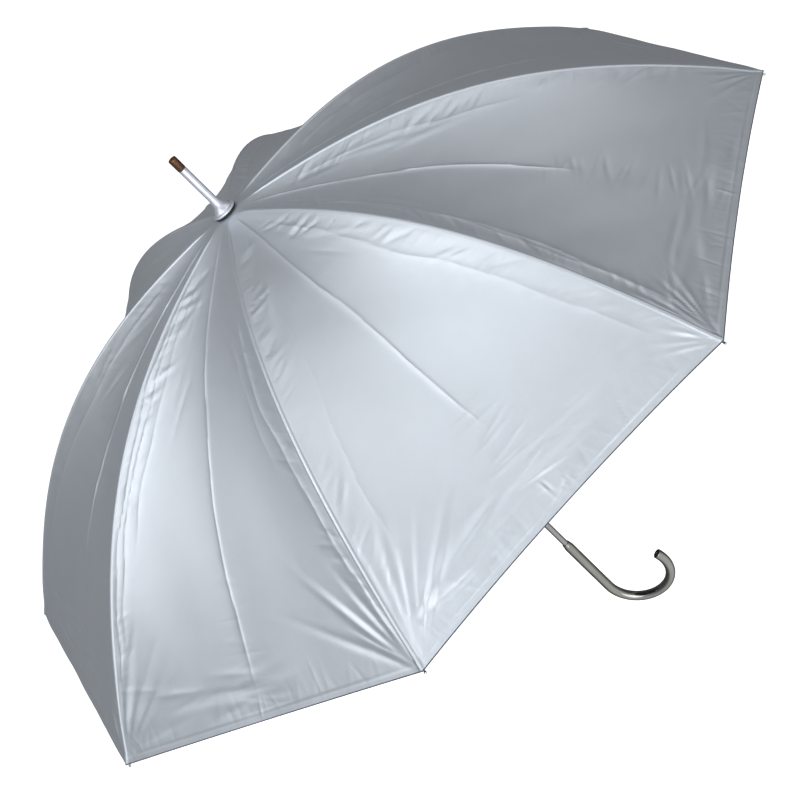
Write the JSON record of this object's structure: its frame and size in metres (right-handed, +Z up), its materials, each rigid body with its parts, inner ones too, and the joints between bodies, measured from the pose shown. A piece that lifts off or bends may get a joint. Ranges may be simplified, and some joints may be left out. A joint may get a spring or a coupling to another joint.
{
  "type": "stick umbrella",
  "caption": "Open long stick umbrella with a silver-coated octagonal canopy, folding ribs, a sliding runner, a long metal ferrule and a bent-tube crook handle.",
  "frame": {"origin": "middle of the hand grip, on the shaft's axis", "axes": "+Z up the shaft towards the ferrule, with the umbrella held upright and open; +X the way the crook reaches; +Y completes the right-handed set"},
  "size_m": [1.044, 1.044, 0.8389],
  "materials": {
    "canopy_fabric": "satin silver coated polyester, fine plain weave",
    "lining_fabric": "dark slate blue polyester",
    "handle_metal": "polished nickel, warm grey",
    "shaft_steel": "nickel plated steel tube",
    "ferrule_aluminium": "satin turned aluminium",
    "tip_bronze": "polished bronze",
    "black_plastic": "black moulded nylon",
    "rib_steel": "zinc plated spring steel",
    "tip_metal": "nickel plated",
    "wire_steel": "bright steel wire and pins"
  },
  "bodies": {
    "frame": {"handle": "handle_metal", "handle_plug": "black_plastic", "handle_bush": "black_plastic", "shaft": "shaft_steel", "ferrule": "ferrule_aluminium", "ferrule_tip": "tip_bronze", "cap_washer": "black_plastic", "crown": "black_plastic", "crown_wire": "wire_steel", "crown_pin": "wire_steel", "stop_pin": "wire_steel"},
    "runner": {"runner": "black_plastic", "runner_wire": "wire_steel"},
    "rib_1": {"rib_inner_1": "rib_steel", "canopy_panel_1": "canopy_fabric"},
    "rib_end_1": {"rib_outer_1": "rib_steel", "rib_tip_1": "tip_metal"},
    "stretcher_1": {"stretcher_1": "rib_steel"},
    "rib_2": {"rib_inner_2": "rib_steel", "canopy_panel_2": "canopy_fabric"},
    "rib_end_2": {"rib_outer_2": "rib_steel", "rib_tip_2": "tip_metal", "tie_strap": "lining_fabric", "strap_snap": "wire_steel"},
    "stretcher_2": {"stretcher_2": "rib_steel"},
    "rib_3": {"rib_inner_3": "rib_steel", "canopy_panel_3": "canopy_fabric"},
    "rib_end_3": {"rib_outer_3": "rib_steel", "rib_tip_3": "tip_metal"},
    "stretcher_3": {"stretcher_3": "rib_steel"},
    "rib_4": {"rib_inner_4": "rib_steel", "canopy_panel_4": "canopy_fabric"},
    "rib_end_4": {"rib_outer_4": "rib_steel", "rib_tip_4": "tip_metal"},
    "stretcher_4": {"stretcher_4": "rib_steel"},
    "rib_5": {"rib_inner_5": "rib_steel", "canopy_panel_5": "canopy_fabric"},
    "rib_end_5": {"rib_outer_5": "rib_steel", "rib_tip_5": "tip_metal"},
    "stretcher_5": {"stretcher_5": "rib_steel"},
    "rib_6": {"rib_inner_6": "rib_steel", "canopy_panel_6": "canopy_fabric"},
    "rib_end_6": {"rib_outer_6": "rib_steel", "rib_tip_6": "tip_metal"},
    "stretcher_6": {"stretcher_6": "rib_steel"},
    "rib_7": {"rib_inner_7": "rib_steel", "canopy_panel_7": "canopy_fabric"},
    "rib_end_7": {"rib_outer_7": "rib_steel", "rib_tip_7": "tip_metal"},
    "stretcher_7": {"stretcher_7": "rib_steel"},
    "rib_8": {"rib_inner_8": "rib_steel", "canopy_panel_8": "canopy_fabric"},
    "rib_end_8": {"rib_outer_8": "rib_steel", "rib_tip_8": "tip_metal"},
    "stretcher_8": {"stretcher_8": "rib_steel"},
    "top_catch": {"top_catch": "wire_steel"},
    "bottom_catch": {"bottom_catch": "wire_steel"}
  },
  "joints": [
    {"name": "canopy_fold", "type": "hinge", "parent": "frame", "child": "rib_1", "pos_m": [0.01169, 0.0027, 0.656], "axis": [-0.225, 0.9744, 0], "range_deg": [0, 76.1], "deforming": ["canopy_panel_1", "canopy_panel_2", "canopy_panel_3", "canopy_panel_4", "canopy_panel_5", "canopy_panel_6", "canopy_panel_7", "canopy_panel_8", "tie_strap", "strap_snap"]},
    {"name": "rib_2_fold", "type": "hinge", "parent": "frame", "child": "rib_2", "pos_m": [0.01018, -0.00636, 0.656], "axis": [0.5299, 0.848, 0], "range_deg": [0, 76.1]},
    {"name": "rib_3_fold", "type": "hinge", "parent": "frame", "child": "rib_3", "pos_m": [0.0027, -0.01169, 0.656], "axis": [0.9744, 0.225, 0], "range_deg": [0, 76.1]},
    {"name": "rib_4_fold", "type": "hinge", "parent": "frame", "child": "rib_4", "pos_m": [-0.00636, -0.01018, 0.656], "axis": [0.848, -0.5299, 0], "range_deg": [0, 76.1]},
    {"name": "rib_5_fold", "type": "hinge", "parent": "frame", "child": "rib_5", "pos_m": [-0.01169, -0.0027, 0.656], "axis": [0.225, -0.9744, 0], "range_deg": [0, 76.1]},
    {"name": "rib_6_fold", "type": "hinge", "parent": "frame", "child": "rib_6", "pos_m": [-0.01018, 0.00636, 0.656], "axis": [-0.5299, -0.848, 0], "range_deg": [0, 76.1]},
    {"name": "rib_7_fold", "type": "hinge", "parent": "frame", "child": "rib_7", "pos_m": [-0.0027, 0.01169, 0.656], "axis": [-0.9744, -0.225, 0], "range_deg": [0, 76.1]},
    {"name": "rib_8_fold", "type": "hinge", "parent": "frame", "child": "rib_8", "pos_m": [0.00636, 0.01018, 0.656], "axis": [-0.848, 0.5299, 0], "range_deg": [0, 76.1]},
    {"name": "rib_1_flex", "type": "hinge", "parent": "rib_1", "child": "rib_end_1", "pos_m": [0.25124, 0.058, 0.60649], "axis": [-0.225, 0.9744, 0], "range_deg": [-21.97, 0]},
    {"name": "stretcher_1_swing", "type": "hinge", "parent": "rib_1", "child": "stretcher_1", "pos_m": [0.24598, 0.05679, 0.60862], "axis": [-0.225, 0.9744, 0], "range_deg": [-152.25, 0]},
    {"name": "rib_2_flex", "type": "hinge", "parent": "rib_2", "child": "rib_end_2", "pos_m": [0.21867, -0.13664, 0.60649], "axis": [0.5299, 0.848, 0], "range_deg": [-21.97, 0]},
    {"name": "stretcher_2_swing", "type": "hinge", "parent": "rib_2", "child": "stretcher_2", "pos_m": [0.21409, -0.13378, 0.60862], "axis": [0.5299, 0.848, 0], "range_deg": [-152.25, 0]},
    {"name": "rib_3_flex", "type": "hinge", "parent": "rib_3", "child": "rib_end_3", "pos_m": [0.058, -0.25124, 0.60649], "axis": [0.9744, 0.225, 0], "range_deg": [-21.97, 0]},
    {"name": "stretcher_3_swing", "type": "hinge", "parent": "rib_3", "child": "stretcher_3", "pos_m": [0.05679, -0.24598, 0.60862], "axis": [0.9744, 0.225, 0], "range_deg": [-152.25, 0]},
    {"name": "rib_4_flex", "type": "hinge", "parent": "rib_4", "child": "rib_end_4", "pos_m": [-0.13664, -0.21867, 0.60649], "axis": [0.848, -0.5299, 0], "range_deg": [-21.97, 0]},
    {"name": "stretcher_4_swing", "type": "hinge", "parent": "rib_4", "child": "stretcher_4", "pos_m": [-0.13378, -0.21409, 0.60862], "axis": [0.848, -0.5299, 0], "range_deg": [-152.25, 0]},
    {"name": "rib_5_flex", "type": "hinge", "parent": "rib_5", "child": "rib_end_5", "pos_m": [-0.25124, -0.058, 0.60649], "axis": [0.225, -0.9744, 0], "range_deg": [-21.97, 0]},
    {"name": "stretcher_5_swing", "type": "hinge", "parent": "rib_5", "child": "stretcher_5", "pos_m": [-0.24598, -0.05679, 0.60862], "axis": [0.225, -0.9744, 0], "range_deg": [-152.25, 0]},
    {"name": "rib_6_flex", "type": "hinge", "parent": "rib_6", "child": "rib_end_6", "pos_m": [-0.21867, 0.13664, 0.60649], "axis": [-0.5299, -0.848, 0], "range_deg": [-21.97, 0]},
    {"name": "stretcher_6_swing", "type": "hinge", "parent": "rib_6", "child": "stretcher_6", "pos_m": [-0.21409, 0.13378, 0.60862], "axis": [-0.5299, -0.848, 0], "range_deg": [-152.25, 0]},
    {"name": "rib_7_flex", "type": "hinge", "parent": "rib_7", "child": "rib_end_7", "pos_m": [-0.058, 0.25124, 0.60649], "axis": [-0.9744, -0.225, 0], "range_deg": [-21.97, 0]},
    {"name": "stretcher_7_swing", "type": "hinge", "parent": "rib_7", "child": "stretcher_7", "pos_m": [-0.05679, 0.24598, 0.60862], "axis": [-0.9744, -0.225, 0], "range_deg": [-152.25, 0]},
    {"name": "rib_8_flex", "type": "hinge", "parent": "rib_8", "child": "rib_end_8", "pos_m": [0.13664, 0.21867, 0.60649], "axis": [-0.848, 0.5299, 0], "range_deg": [-21.97, 0]},
    {"name": "stretcher_8_swing", "type": "hinge", "parent": "rib_8", "child": "stretcher_8", "pos_m": [0.13378, 0.21409, 0.60862], "axis": [-0.848, 0.5299, 0], "range_deg": [-152.25, 0]},
    {"name": "runner_travel", "type": "hinge", "parent": "stretcher_1", "child": "runner", "pos_m": [0.01169, 0.0027, 0.56124], "axis": [-0.225, 0.9744, 0], "range_deg": [0, 76.1]},
    {"name": "top_catch_press", "type": "hinge", "parent": "frame", "child": "top_catch", "pos_m": [0.0003, 0, 0.49044], "axis": [0, -1, 0], "range_deg": [0, 7], "stiffness_Nm_per_rad": 0.05, "springref_deg": -5.73},
    {"name": "bottom_catch_press", "type": "hinge", "parent": "frame", "child": "bottom_catch", "pos_m": [0.0003, 0, 0.19524], "axis": [0, 1, 0], "range_deg": [0, 7], "stiffness_Nm_per_rad": 0.05, "springref_deg": -5.73}
  ],
  "couplings": [
    {"joint": "rib_2_fold", "follows": "canopy_fold", "ratio": 1},
    {"joint": "rib_3_fold", "follows": "canopy_fold", "ratio": 1},
    {"joint": "rib_4_fold", "follows": "canopy_fold", "ratio": 1},
    {"joint": "rib_5_fold", "follows": "canopy_fold", "ratio": 1},
    {"joint": "rib_6_fold", "follows": "canopy_fold", "ratio": 1},
    {"joint": "rib_7_fold", "follows": "canopy_fold", "ratio": 1},
    {"joint": "rib_8_fold", "follows": "canopy_fold", "ratio": 1},
    {"joint": "rib_1_flex", "follows": "canopy_fold", "ratio": -0.288},
    {"joint": "stretcher_1_swing", "follows": "canopy_fold", "ratio": -2},
    {"joint": "rib_2_flex", "follows": "canopy_fold", "ratio": -0.288},
    {"joint": "stretcher_2_swing", "follows": "canopy_fold", "ratio": -2},
    {"joint": "rib_3_flex", "follows": "canopy_fold", "ratio": -0.288},
    {"joint": "stretcher_3_swing", "follows": "canopy_fold", "ratio": -2},
    {"joint": "rib_4_flex", "follows": "canopy_fold", "ratio": -0.288},
    {"joint": "stretcher_4_swing", "follows": "canopy_fold", "ratio": -2},
    {"joint": "rib_5_flex", "follows": "canopy_fold", "ratio": -0.288},
    {"joint": "stretcher_5_swing", "follows": "canopy_fold", "ratio": -2},
    {"joint": "rib_6_flex", "follows": "canopy_fold", "ratio": -0.288},
    {"joint": "stretcher_6_swing", "follows": "canopy_fold", "ratio": -2},
    {"joint": "rib_7_flex", "follows": "canopy_fold", "ratio": -0.288},
    {"joint": "stretcher_7_swing", "follows": "canopy_fold", "ratio": -2},
    {"joint": "rib_8_flex", "follows": "canopy_fold", "ratio": -0.288},
    {"joint": "stretcher_8_swing", "follows": "canopy_fold", "ratio": -2},
    {"joint": "runner_travel", "follows": "canopy_fold", "ratio": 1}
  ]
}
